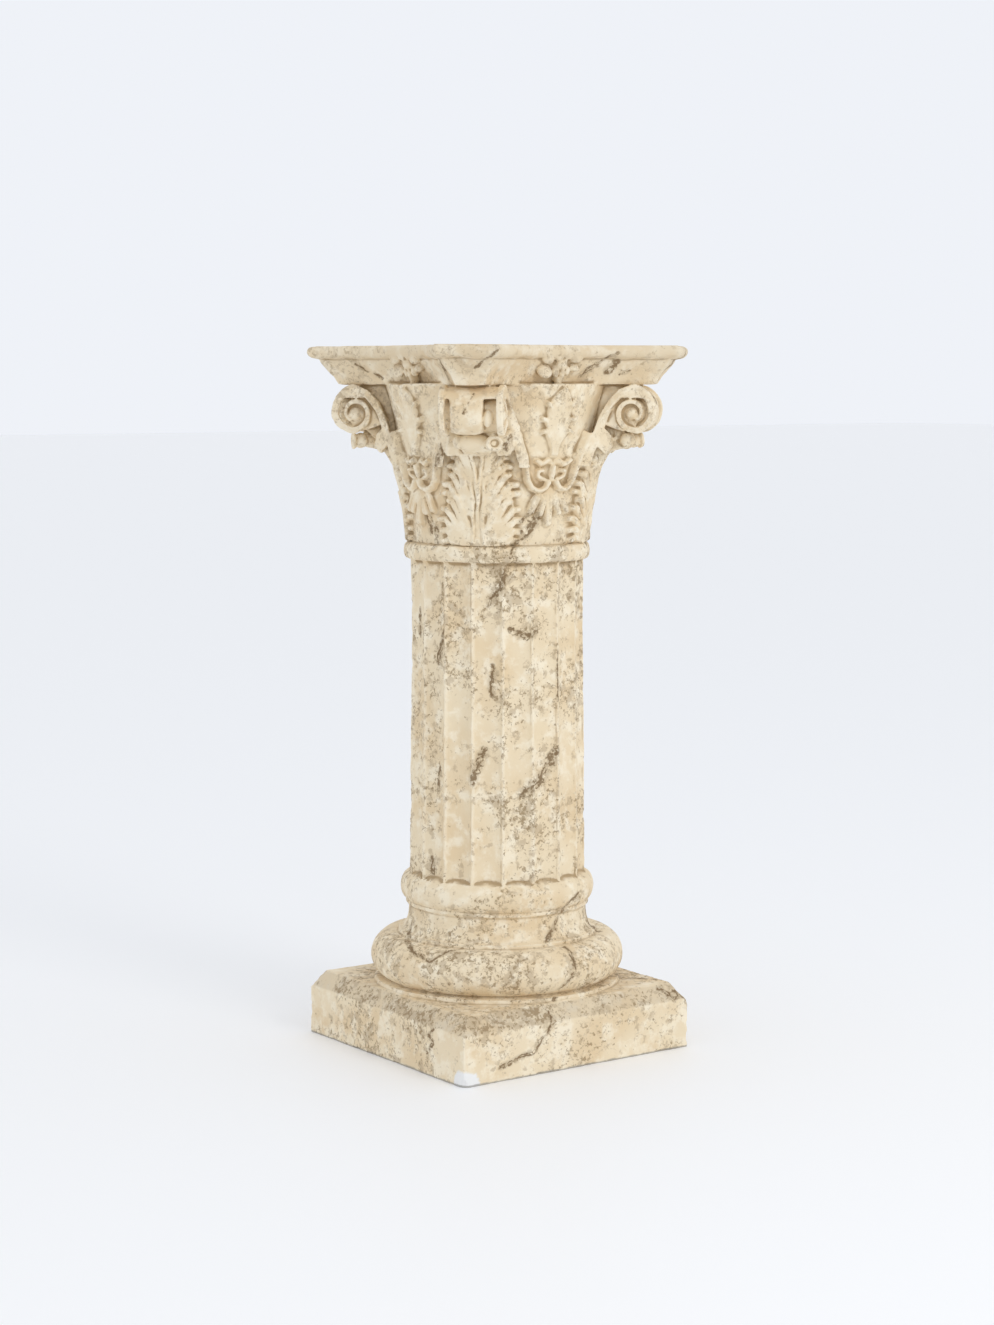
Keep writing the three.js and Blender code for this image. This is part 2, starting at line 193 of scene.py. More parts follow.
hollow = []
for step in range(cavetto_steps + 1):
    turn = math.pi / 2 * step / cavetto_steps
    radius = cavetto_radius + (lip_radius - lip_edge - cavetto_radius) * (1 - math.sin(turn))
    hollow.append((radius, lip_head + 0.8 * (astragal_foot - lip_head) * (1 - math.cos(turn))))
profile = [
    (fillet_radius, plinth_top - 2 * mm),
    (fillet_radius, torus_foot),
    *half_round(torus_foot, torus_head, lip_radius + 8 * mm, torus_radius, 24),
    (lip_radius - 2.5 * mm, torus_head - mm),
    (lip_radius - 2 * mm, torus_head + 0.6 * mm),
    (lip_radius + lip_edge, torus_head + 1.2 * mm),
    (lip_radius + lip_edge, lip_head - 0.4 * mm),
    (lip_radius - lip_edge, lip_head),
    *hollow,
    (cavetto_radius + 0.4 * mm, astragal_foot - 5.6 * mm),
    (cavetto_radius + necking, astragal_foot - 5 * mm),
    (cavetto_radius + necking, astragal_foot - 2 * mm),
    (cavetto_radius, astragal_foot - mm),
    *half_round(astragal_foot, shaft_foot, cavetto_radius + mm, astragal_radius, 16)[:-1],
    (core_radius, shaft_foot + flute_depth),
]
foot_parts.append(turned("base_mouldings", profile))

# Shaft: slightly waisted, with hollow flutes between blunt arrises. The flutes run out on the
# astragal's sloping top below and stop dead under the neck ring above.
flutes = 18
flute_turn = math.radians(-2)
flute_half = 0.475
flute_fullness = 0.6
shaft_rings = 40
shaft_radius = 101.8 * mm
waist_radius = 98.4 * mm
waist_height = 480 * mm
head_radius = 99.5 * mm
ring_foot = 560.6 * mm
rings = [(shaft_radius, shaft_foot - 8 * mm)]
for step in range(1, shaft_rings):
    height = shaft_foot + (ring_foot - shaft_foot) * step / shaft_rings
    if height < waist_height:
        share = (height - shaft_foot) / (waist_height - shaft_foot)
        rings.append((shaft_radius + (waist_radius - shaft_radius) * share, height))
    else:
        share = (height - waist_height) / (ring_foot - waist_height)
        rings.append((waist_radius + (head_radius - waist_radius) * share**2, height))
rings.append((head_radius, ring_foot + 5 * mm))
shaft = turned("shaft", rings, steps=flutes * 24)

points = np.empty(len(shaft.data.vertices) * 3)
shaft.data.vertices.foreach_get("co", points)
points = points.reshape(-1, 3)
pitch = 2 * math.pi / flutes
azimuth = np.arctan2(points[:, 0], -points[:, 1])
across = (azimuth - pitch / 2 - flute_turn) / pitch
across = np.abs(across - np.floor(across) - 0.5) / flute_half
scoop = flute_depth * np.clip(1 - across**2, 0, 1) ** flute_fullness
radius = np.hypot(points[:, 0], points[:, 1])
points[:, :2] *= ((radius - scoop) / radius)[:, None]
shaft.data.vertices.foreach_set("co", points.ravel())
shaft.data.update()
foot_parts.append(shaft)

# Neck ring: flat below, rounded in front and above, where the bell rises out of it.
ring_radius = 105.9 * mm
bell_foot = 579.4 * mm
profile = [
    (98 * mm, ring_foot),
    (ring_radius - 3 * mm, ring_foot),
    (ring_radius - 0.8 * mm, ring_foot + 2.5 * mm),
    (ring_radius, ring_foot + 7 * mm),
    (ring_radius, ring_foot + 11 * mm),
    (ring_radius - 0.8 * mm, ring_foot + 15.5 * mm),
    (ring_radius - 3 * mm, bell_foot - 0.6 * mm),
    (ring_radius - 6 * mm, bell_foot + 0.6 * mm),
    (core_radius, bell_foot + mm),
]
foot_parts.append(turned("neck_ring", profile))

# Bell of the capital with everything that is carved low on it: a tall leaf at each corner, a small
# hanging leaf, the hooked stems and a palmette on each face. It is one relief, the same in every
# eighth of a turn, measured in degrees from the middle of a face and millimetres above the ring.
abacus_foot = 757.6 * mm
bell_height = abacus_foot - bell_foot
bell_head_radius = 126 * mm
bell_foot_radius = 98 * mm
columns = 960
rows = 270
capital_parts = []

up = np.linspace(0, bell_height / mm, rows - 1)
turn = np.linspace(0, 45, columns // 8 + 1)
turn_grid, up_grid = np.meshgrid(turn, up)
share = up_grid * mm / bell_height
bell_radius = (bell_foot_radius + (bell_head_radius - bell_foot_radius) * share**1.8) / mm


def smooth_step(value, low, high):
    """0 below low, 1 above high, with a smooth rise between."""
    step = np.clip((value - low) / (high - low), 0, 1)
    return step * step * (3 - 2 * step)


def along_route(route, reference):
    """Distance in mm from each grid point to a route of (degrees, mm) points, and how far along it."""
    steps = np.array(route, float)
    x = np.radians(turn_grid) * bell_radius
    best = np.full(turn_grid.shape, 1e9)
    place = np.zeros(turn_grid.shape)
    count = len(steps) - 1
    for number in range(count):
        start = (math.radians(steps[number][0]) * reference, steps[number][1])
        end = (math.radians(steps[number + 1][0]) * reference, steps[number + 1][1])
        dx, dz = end[0] - start[0], end[1] - start[1]
        part = ((x - start[0]) * dx + (up_grid - start[1]) * dz) / (dx * dx + dz * dz)
        part = np.clip(part, 0, 1)
        gap = np.hypot(x - start[0] - part * dx, up_grid - start[1] - part * dz)
        nearer = gap < best
        best = np.where(nearer, gap, best)
        place = np.where(nearer, (number + part) / count, place)
    return best, place


def finger(route, width, height, vein=0.0):
    """Height of a rounded leaf finger that is fullest past its middle, with a vein down it."""
    middle = route[len(route) // 2]
    reference = float(np.interp(middle[1], up, bell_radius[:, 0]))
    gap, place = along_route(route, reference)
    half = width * np.sqrt(np.clip(1 - ((place - 0.62) / 0.66) ** 2, 0.05, 1))
    body = np.sqrt(np.clip(1 - (gap / half) ** 2, 0, 1))
    lift = height * (0.3 + 0.8 * place) * body
    return lift - vein * np.exp(-((gap / (0.22 * width)) ** 2)) * (body > 0)


def cord_ridge(route, width, height):
    """Height of a round ridge along a route; width and height are given from its start to its end."""
    reference = float(np.interp(route[len(route) // 2][1], up, bell_radius[:, 0]))
    gap, place = along_route(route, reference)
    wide = np.interp(place, np.linspace(0, 1, len(width)), width)
    tall = np.interp(place, np.linspace(0, 1, len(height)), height)
    return tall * np.sqrt(np.clip(1 - (gap / wide) ** 2, 0, 1))


relief = np.zeros(turn_grid.shape)
off = 45 - turn_grid

# Corner leaf: its body follows the rib's line and thins to a few millimetres at its edges.
leaf_top = 119
spine = np.interp(
    up_grid, [0, 24, 42, 58, 72, 88, 98, 104, 112, 118], [5, 6.5, 7.5, 8.5, 9.6, 12.5, 15.5, 19, 27, 34]
)
edge = np.interp(up_grid, [0, 20, 44, 60, 76, 93, 105, leaf_top], [20, 23, 22, 20, 18, 15, 12, 10])
inside = smooth_step(edge - off, 0, 0.9)
fall = 1.6 + 5 * smooth_step(up_grid, 84, 108)
leaf_body = (spine - (spine - 2.5) * np.clip(off / edge, 0, 1) ** fall) * inside
leaf_body = np.where(up_grid < leaf_top, leaf_body, 0)
relief = np.maximum(relief, leaf_body)

# Three tiers of lobes climb the rib. Each is cut into narrow fingers that curl outwards at the tip.
# A tier gives its root and the tips of its fingers, in degrees off the rib and millimetres up.
tiers = [
    ((5, 0), [(24, 7), (26.5, 18), (27.5, 31), (24.5, 43), (19, 52), (13.5, 57)]),
    ((5, 34), [(24, 60), (22.5, 70), (18, 81), (12, 88)]),
    ((4, 66), [(18.5, 90), (16, 100), (11, 110)]),
]
fingers = np.zeros(turn_grid.shape)
for (root_off, root_up), tips in tiers:
    for tip_off, tip_up in tips:
        waist_off = root_off + 0.45 * (tip_off - root_off)
        waist_up = root_up + 0.55 * (tip_up - root_up)
        shoulder_off = root_off + 0.8 * (tip_off - root_off)
        shoulder_up = root_up + 0.93 * (tip_up - root_up)
        route = [
            (45 - root_off, root_up), (45 - waist_off, waist_up),
            (45 - shoulder_off, shoulder_up), (45 - tip_off, tip_up - 2),
        ]
        fingers = np.maximum(fingers, finger(route, width=3.9, height=6.8, vein=1.8))
relief = relief + fingers

# Rib of three cords up the middle of the leaf.
for rib_off, tall in ((0.0, 3.6), (3.1, 3.0)):
    route = [(45 - rib_off * 1.5, 2), (45 - rib_off, 50), (45 - rib_off * 0.7, 112)]
    relief = np.maximum(relief, (leaf_body + cord_ridge(route, [1.7], [tall])) * (inside > 0.5))

# Edge of the bell's middle panel, and the deep recess behind it that reaches back under the volutes.
recess_depth = 9
panel_edge = np.interp(up_grid, [84, 100, 150, 178], [20.5, 21.3, 23.0, 24.0])
recess = smooth_step(turn_grid - panel_edge, 0, 0.8) * smooth_step(up_grid, 92, 112)
relief = relief - recess_depth * recess * (relief < 4)

# Small leaf that hangs below the meeting of the stems.
hanging = np.zeros(turn_grid.shape)
for route, wide in (
    ([(0, 62), (0, 42), (0, 25)], 5.6),
    ([(2.0, 62), (4.6, 50), (6.8, 36)], 4.6),
    ([(3.0, 63), (9.0, 53), (13.0, 38)], 4.6),
):
    hanging = np.maximum(hanging, finger(route, wide, height=8.5, vein=1.8))
relief = np.maximum(relief, hanging)

# Stem: hooks back on itself at the foot and climbs towards the volute.
stem_route = [
    (2.6, 70), (4.2, 64.5), (7, 61.5), (10, 61.5), (13.6, 65), (16.2, 72),
    (17.8, 84), (19.6, 98), (22.6, 110), (26.0, 121),
]
stem_wide = [3.2, 3.4, 3.6, 4.0, 5.2]
stem_tall = [9, 9.5, 9.5, 9.5, 9.5, 10, 10.5, 11.5, 12.5, 13]
relief = np.maximum(relief, cord_ridge(stem_route, stem_wide, stem_tall))

# Scroll curl, drooping calyx and the palmette that grows out of it.
for route, wide, tall in (
    ([(3, 73), (6, 73.5), (9.5, 77), (9.3, 82.5), (6.8, 83)], 2.6, 8.0),
    ([(0.5, 92), (4, 94), (8, 90), (12, 94.5)], 3.2, 8.0),
    ([(0, 70), (0, 78), (0, 88)], 3.2, 7.5),
):
    relief = np.maximum(relief, finger(route, wide, tall, vein=0.6))
palmette_edge = np.interp(
    up_grid, [98, 106, 116, 128, 140, 150, 160, 168, 175], [2.8, 3.0, 4.2, 6.4, 8.0, 8.0, 6.4, 4.0, 0]
)
palmette = smooth_step(palmette_edge - turn_grid, 0, 0.7) * smooth_step(up_grid, 98, 101)
relief = np.maximum(relief, palmette * (5.2 - 0.14 * turn_grid))
for route, wide in (
    ([(1.2, 104), (3.6, 117), (7.0, 127), (9.6, 125)], 2.8),
    ([(1.2, 108), (3.8, 124), (7.6, 139), (10.6, 140)], 3.0),
    ([(1.0, 112), (2.8, 134), (5.6, 152), (8.4, 157)], 3.0),
    ([(0, 104), (0, 140), (0, 172)], 3.2),
):
    relief = np.maximum(relief, finger(route, wide, height=8.6, vein=2.0))
relief = np.maximum(relief, cord_ridge([(0, 160), (0, 178.2)], [2.0], [3.2]))

# The relief is laid on a grid that is wrapped round and closed. Its foot is turned by a few degrees.
mould_twist = 2.5
bpy.ops.object.select_all(action="DESELECT")
bpy.ops.mesh.primitive_grid_add(x_subdivisions=columns, y_subdivisions=rows - 2, size=2)
bell = bpy.context.object
bell.name = "bell"
points = np.empty(len(bell.data.vertices) * 3)
bell.data.vertices.foreach_get("co", points)
points = points.reshape(-1, 3)
column_number = np.round((points[:, 0] + 1) / 2 * columns).astype(int) % columns
line = np.round((points[:, 1] + 1) / 2 * (rows - 2)).astype(int)
azimuth = column_number * 360 / columns
carving_turn = mould_twist * (1 - up[line] * mm / bell_height)
fold = np.abs((azimuth + carving_turn + 45) % 90 - 45)
column_place = fold / 45 * (columns // 8)
left = np.clip(np.floor(column_place).astype(int), 0, columns // 8 - 1)
part = column_place - left
height_at = relief[line, left] * (1 - part) + relief[line, left + 1] * part
radius = (bell_radius[line, 0] + height_at) * mm
points[:, 0] = radius * np.sin(np.radians(azimuth))
points[:, 1] = -radius * np.cos(np.radians(azimuth))
points[:, 2] = bell_foot + up[line] * mm
bell.data.vertices.foreach_set("co", points.ravel())
bell.data.update()
bpy.ops.object.mode_set(mode="EDIT")
bpy.ops.mesh.select_all(action="SELECT")
bpy.ops.mesh.remove_doubles(threshold=0.01 * mm)
bpy.ops.mesh.select_all(action="SELECT")
bpy.ops.mesh.fill_holes(sides=0)
bpy.ops.mesh.select_all(action="SELECT")
bpy.ops.mesh.normals_make_consistent(inside=False)
bpy.ops.object.mode_set(mode="OBJECT")
capital_parts.append(bell)

# Volutes: at each corner a cushion between two rims, each rim a band that winds in to an eye.
# The band runs down the side of the capital as the end of the stem. The cushion sits to the left, so
# that the slot on its right is the wider one, with a berry in it.
volute_reach = 185 * mm
volute_radius = 33 * mm
volute_width = 70 * mm
spiral_fall = 0.2
volute_height = abacus_foot - volute_radius
volute_centre = volute_reach - volute_radius * math.exp(-spiral_fall)
rim_thickness = 6.5 * mm
rim_lean = 0.75
lean_start = -28 * mm
cushion_left = 6.5
cushion_right = 4
quarter = math.pi / 2


def corner_ways(corner):
    """The way outwards at a corner, and the way sideways to its right."""
    radial = Vector((math.sin(corner), -math.cos(corner), 0))
    sideways = Vector((math.cos(corner), math.sin(corner), 0))
    return radial, sideways


def spiral(quarters, scale):
    """Point of the spiral in the corner's upright plane, from the top outwards and down."""
    radius = scale * volute_radius * math.exp(-spiral_fall * quarters)
    return (radius * math.sin(quarters * quarter), radius * math.cos(quarters * quarter))


def slab(name, corner, outline, near, far, lean=0.0):
    """A flat shape in the corner's upright plane, drawn out sideways from near to far.

    Where it runs in towards the bell it leans sideways, by lean for each metre inwards.
    """
    radial, sideways = corner_ways(corner)
    centre = radial * volute_centre + Vector((0, 0, volute_height))
    body = bmesh.new()
    rings = []
    for across in (near, far):
        ring = []
        for x, z in outline:
            shift = across + lean * max(0, lean_start - x)
            ring.append(body.verts.new(centre + radial * x + Vector((0, 0, z)) + sideways * shift))
        rings.append(ring)
    count = len(outline)
    body.faces.new(rings[0])
    body.faces.new(rings[1])
    for step in range(count):
        after = (step + 1) % count
        body.faces.new((rings[0][step], rings[0][after], rings[1][after], rings[1][step]))
    bmesh.ops.recalc_face_normals(body, faces=body.faces)
    mesh = bpy.data.meshes.new(name)
    body.to_mesh(mesh)
    body.free()
    piece = bpy.data.objects.new(name, mesh)
    bpy.context.collection.objects.link(piece)
    capital_parts.append(piece)


def knob(name, corner, place, size):
    """A rounded lump at (outwards, sideways, up) from the volute's centre, with those half sizes."""
    bpy.ops.object.select_all(action="DESELECT")
    bpy.ops.mesh.primitive_uv_sphere_add(segments=24, ring_count=16, radius=mm)
    lump = bpy.context.object
    lump.name = name
    lump.scale = size
    lump.rotation_euler = (0, 0, corner - quarter)
    radial, sideways = corner_ways(corner)
    out, across, rise = (value * mm for value in place)
    lump.location = radial * (volute_centre + out) + sideways * across
    lump.location.z = volute_height + rise
    bpy.ops.object.transform_apply(location=True, rotation=True, scale=True)
    capital_parts.append(lump)


def shape(*corners):
    """An outline from points in millimetres."""
    return [(x * mm, z * mm) for x, z in corners]


band = shape((-54, -58), (-50, -44), (-46, -30), (-41, -15), (-36, -2), (-28, 12), (-15, 26))
band += [spiral(step / 10, 1.0) for step in range(0, 58)]
band += [spiral(step / 10, 0.68) for step in range(57, 3, -1)]
band += shape((-12, 17), (-22, 6), (-27, -4), (-31, -15), (-37, -30), (-42, -44), (-46, -58))
disc = [spiral(step / 8 - 0.2, 0.95) for step in range(0, 26)]
field = shape((-38, -10), (-12, -20), (0, -18), (12, 0), (0, 22), (-10, 22), (-24, 12))
bridge = shape((-18, 22), (-4, 30), (8, 29), (17, 23), (21, 17), (8, 18), (-8, 15))
web = shape((-75, -42), (-28, -36), (0, -10), (0, 34), (-75, 34))
throat = shape((-34, -45), (-8, -38), (-4, -29), (-20, -24), (-40, -24))
sprig = shape((-34, -14), (-24, -24), (-22, -36), (-30, -46), (-42, -34))
side = volute_width / 2
for number in range(4):
    corner = math.radians(45 + 90 * number)
    for hand in (-1, 1):
        lean = rim_lean * hand
        slab(f"band_{number}_{hand}", corner, band, hand * (side - rim_thickness), hand * side, lean)
        slab(f"field_{number}_{hand}", corner, field, 0, hand * (side - 5.5 * mm))
        slab(f"sprig_{number}_{hand}", corner, sprig, hand * 20 * mm, hand * 33 * mm, lean)
        knob(f"eye_{number}_{hand}", corner, (0, hand * 31, -1), (6.6, 5, 6.6))
    slab(f"core_{number}", corner, [(x * 0.5, z * 0.5) for x, z in disc], -30 * mm, 30 * mm)
    slab(f"bridge_{number}", corner, bridge, -31 * mm, 31 * mm)
    knob(f"berry_{number}", corner, (14, 18, -4), (7, 5, 9))
    for half_width, grow in ((16.5, 0.89), (15, 0.94), (12.5, 0.975), (9, 1.0)):
        cushion = [(x * grow, z * grow) for x, z in disc]
        near = (-half_width - cushion_left) * mm
        far = (half_width - cushion_right) * mm
        slab(f"cushion_{number}_{half_width}", corner, cushion, near, far)
    slab(f"web_{number}", corner, web, -19 * mm, 19 * mm)

    # Rolled tip of the corner leaf, out under the volute, with a scroll at its end.
    knob(f"leaf_tip_{number}", corner, (-10, -3, -30), (10, 20, 10))
    slab(f"throat_{number}", corner, throat, -16 * mm, 16 * mm)
    knob(f"tip_scroll_{number}", corner, (-4, 20, -31), (7.5, 7.5, 8.5))
    bpy.ops.object.select_all(action="DESELECT")
    bpy.ops.mesh.primitive_torus_add(
        major_segments=32, minor_segments=12, major_radius=7.2 * mm, minor_radius=2.3 * mm
    )
    curl = bpy.context.object
    curl.name = f"tip_curl_{number}"
    radial, sideways = corner_ways(corner)
    curl.rotation_euler = (radial * 0.92 + sideways * 0.35).to_track_quat("Z", "Y").to_euler()
    curl.location = radial * (volute_centre + 3 * mm) + sideways * 23.5 * mm
    curl.location.z = volute_height - 31 * mm
    bpy.ops.object.transform_apply(location=True, rotation=True, scale=True)
    capital_parts.append(curl)
    knob(f"tip_end_{number}", corner, (-9, -18, -30), (7, 7, 8))

# Abacus: four hollow sides between cut-off corners, a leaning band under a rounded roll.
# Its plan is drawn from the corner's reach and the depth of the side.
corner_reach = 213.2 * mm
corner_half = 36 * mm
side_reach = 130 * mm
corner_fall = 1.3


def abacus_plan(inset, steps=40, corner_steps=12):
    """Closed outline of the abacus, set in from its roll."""
    end_out = (corner_reach + corner_half) / math.sqrt(2)
    end_across = (corner_reach - corner_half) / math.sqrt(2)
    sagitta = end_out - side_reach
    side_radius = (end_across**2 + sagitta**2) / (2 * sagitta)
    centre_out = side_reach + side_radius
    hollow_radius = side_radius + inset
    gap = (corner_reach - corner_fall * inset) * math.sqrt(2) - centre_out
    reach = (gap + math.sqrt(2 * hollow_radius**2 - gap**2)) / 2
    half_turn = math.asin(reach / hollow_radius)
    arc = []
    for step in range(steps + 1):
        turn = half_turn * (2 * step / steps - 1)
        arc.append((hollow_radius * math.sin(turn), hollow_radius * math.cos(turn) - centre_out))
    outline = []
    for number in range(4):
        cos, sin = math.cos(number * quarter), math.sin(number * quarter)
        outline += [(x * cos - y * sin, x * sin + y * cos) for x, y in arc]
        last = outline[-1]
        cos, sin = math.cos((number + 1) * quarter), math.sin((number + 1) * quarter)
        x, y = arc[0]
        first = (x * cos - y * sin, x * sin + y * cos)
        for step in range(1, corner_steps):
            part = step / corner_steps
            x = last[0] + (first[0] - last[0]) * part
            y = last[1] + (first[1] - last[1]) * part
            outline.append((x, y))
    return outline


# Its section, from the underside up: millimetres in from the roll's edge, and up.
levels = [
    (25, -1), (24.5, 0), (23.5, 2), (21.5, 8), (17, 15), (12.5, 21), (10.5, 25), (11.5, 27),
    (7, 28), (3.5, 29.2), (1, 32), (0, 35.5), (0.4, 38.5), (2, 41), (4.5, 42.4),
]
rings = [
    [(x, y, abacus_foot + height * mm) for x, y in abacus_plan(inset * mm)]
    for inset, height in levels
]
count = len(rings[0])
faces = [tuple(reversed(range(count)))]
for number in range(len(rings) - 1):
    low = number * count
    for step in range(count):
        after = (step + 1) % count
        faces.append((low + step, low + after, low + count + after, low + count + step))
faces.append(tuple(range((len(rings) - 1) * count, len(rings) * count)))
mesh = bpy.data.meshes.new("abacus")
mesh.from_pydata([point for ring in rings for point in ring], [], faces)
abacus = bpy.data.objects.new("abacus", mesh)
bpy.context.collection.objects.link(abacus)
capital_parts.append(abacus)

# Fleuron in the middle of each side of the abacus: two round petals a side, a bud and a small
# leaf below, modelled in clay on the master and cast with the rest. A petal's row gives its place
# across, up and in from the side's face, then its half sizes: wide, deep and tall.
petal_size = 0.95
petal_depth = 0.8
petals = [
    (-20.5, 28, 6, 9, 6, 7), (-21.5, 13.5, 12, 9.5, 6.5, 8), (-6, 31, 6, 7, 6, 6),
    (6, 32, 6, 7, 6, 5.5), (18, 29, 6, 9.5, 6, 7), (19, 17, 11, 6, 5, 5), (0, 22, 9, 8, 7, 7),
    (-7, 14, 12.5, 4, 6, 8), (1, 12, 13, 4, 7, 8), (9, 14, 12, 4, 6, 7), (0, 6, 17, 5, 8, 6),
]
for number in range(4):
    for place, (across, height, inset, wide, deep, tall) in enumerate(petals):
        bpy.ops.object.select_all(action="DESELECT")
        bpy.ops.mesh.primitive_uv_sphere_add(segments=28, ring_count=18, radius=mm)
        petal = bpy.context.object
        petal.name = f"petal_{number}_{place}"
        petal.scale = (petal_size * wide, petal_depth * deep, petal_size * tall)
        spot = Vector((across * mm, -side_reach + inset * mm, abacus_foot + height * mm))
        spot.rotate(Matrix.Rotation(number * quarter, 3, "Z"))
        petal.location = spot
        petal.rotation_euler = (0, 0, number * quarter)
        bpy.ops.object.transform_apply(location=True, rotation=True, scale=True)
        capital_parts.append(petal)

# The casting: the real column is one piece of plaster. Its parts are fused into a skin here, eased
# as plaster and paint ease every corner, then chipped and worn as the old one is. The skin is made
# in two, which meet in the crease over the neck ring, so that each can be fine enough.
most_triangles = 196000
crumble_depth = 1.2 * mm
wave_depth = 0.3 * mm
pit_depth = 0.5 * mm
box_margin = 0.2 * mm
flat_foot = 1.2 * mm
# Strength of the painted shade in the crease over the neck ring.
crease_shade = 0.5
lattice_side = 32


def read_points(mesh):
    """Vertex places as an array of rows."""
    values = np.empty(len(mesh.vertices) * 3)
    mesh.vertices.foreach_get("co", values)
    return values.reshape(-1, 3)


def read_normals(mesh):
    """Vertex normals as an array of rows."""
    values = np.empty(len(mesh.vertices) * 3)
    mesh.vertex_normals.foreach_get("vector", values)
    return values.reshape(-1, 3)


def settle(mesh, values, rounds):
    """Values averaged with those of the neighbours, a number of times."""
    pairs = np.empty(len(mesh.edges) * 2, dtype=np.int32)
    mesh.edges.foreach_get("vertices", pairs)
    one, other = pairs[0::2], pairs[1::2]
    count = len(mesh.vertices)
    links = np.bincount(one, minlength=count) + np.bincount(other, minlength=count) + 1.0
    for _ in range(rounds):
        settled = np.empty_like(values)
        for axis in range(values.shape[1]):
            total = np.bincount(one, weights=values[other, axis], minlength=count)
            total += np.bincount(other, weights=values[one, axis], minlength=count)
            settled[:, axis] = (total + values[:, axis]) / links
        values = settled
    return values


def mottle(places, size, seed):
    """Smooth random values from -1 to 1 whose lumps are about as wide as size."""
    lattice = np.random.default_rng(seed).uniform(-1, 1, (lattice_side,) * 3)
    scaled = places / size + 1000
    cell = np.floor(scaled).astype(int)
    inner = scaled - cell
    inner = inner * inner * (3 - 2 * inner)
    total = np.zeros(len(places))
    for number in range(8):
        step = np.array([number & 1, number >> 1 & 1, number >> 2 & 1])
        spot = (cell + step) % lattice_side
        weight = np.prod(np.where(step, inner, 1 - inner), axis=1)
        total += weight * lattice[spot[:, 0], spot[:, 1], spot[:, 2]]
    return total


# Knocks to the plinth: the corner that is hit, the way it is hit from, and the depth and reach.
half_side = plinth_side / 2
chips = [
    ((-half_side, -half_side, 0), (-1, -1, -0.8), 5, 26),
    ((half_side, -half_side, plinth_top), (1, -0.7, 1.1), 16, 46),
    ((-half_side, half_side, plinth_top), (-1, 0.6, 1.2), 14, 34),
    ((half_side, half_side, plinth_face), (1, 1, 0.5), 8, 30),
    ((half_side, half_side, 0), (1, 1, -0.6), 5, 22),
]

# Painted shade and highlight in the flutes are placed by their share of the way from one flute's middle to
# the next one's.
arris_phase = 0.452
arris_spread = 0.028
highlight_phase = 0.56
highlight_spread = 0.05
# Strengths: painted shade beside the arrises and under the neck ring, dirt and painted shade at the flutes'
# ends, and the painted highlight.
arris_shade = 0.45
head_shade = 0.45
end_dirt_and_shade = 0.36
painted_highlight = 0.4


def flute_shade_and_highlight(places, facing):
    """Painted shade of the flutes: dirt and painted shade on their ends, painted shade under the neck ring
    and in broken lines beside each arris.

    On the other side of each arris the paint is made lighter, a painted highlight.
    """
    height = places[:, 2]
    on_shaft = (height > shaft_foot + mm) * (height < ring_foot)
    phase = (np.arctan2(places[:, 0], -places[:, 1]) - flute_turn) / pitch
    phase = phase - np.floor(phase)
    inward = shaft_radius - np.hypot(places[:, 0], places[:, 1])
    # Dirt and painted shade on the astragal's top where the flutes end.
    ends = end_dirt_and_shade * (facing[:, 2] > 0.4) * (height > shaft_foot - mm) * (height < shaft_foot + 7 * mm)
    ends = ends * (inward > -0.5 * mm) * (1 + 0.5 * mottle(places, 6 * mm, 23))
    # Painted shade under the neck ring, at the heads of the flutes.
    heads = head_shade * smooth_step(height, ring_foot - 7 * mm, ring_foot)
    heads = heads * smooth_step(inward, 5 * mm, 8 * mm)
    # Painted shade in a broken line beside each arris, and a painted highlight on its other side.
    beside = np.exp(-(((phase - arris_phase) / arris_spread) ** 2))
    line_breaks = np.clip(0.75 + mottle(places, 24 * mm, 21) + 0.5 * mottle(places, 5 * mm, 22), 0, 1)
    highlight_band = np.exp(-(((phase - highlight_phase) / highlight_spread) ** 2))
    return ends + on_shaft * (heads + arris_shade * beside * line_breaks - painted_highlight * highlight_band)


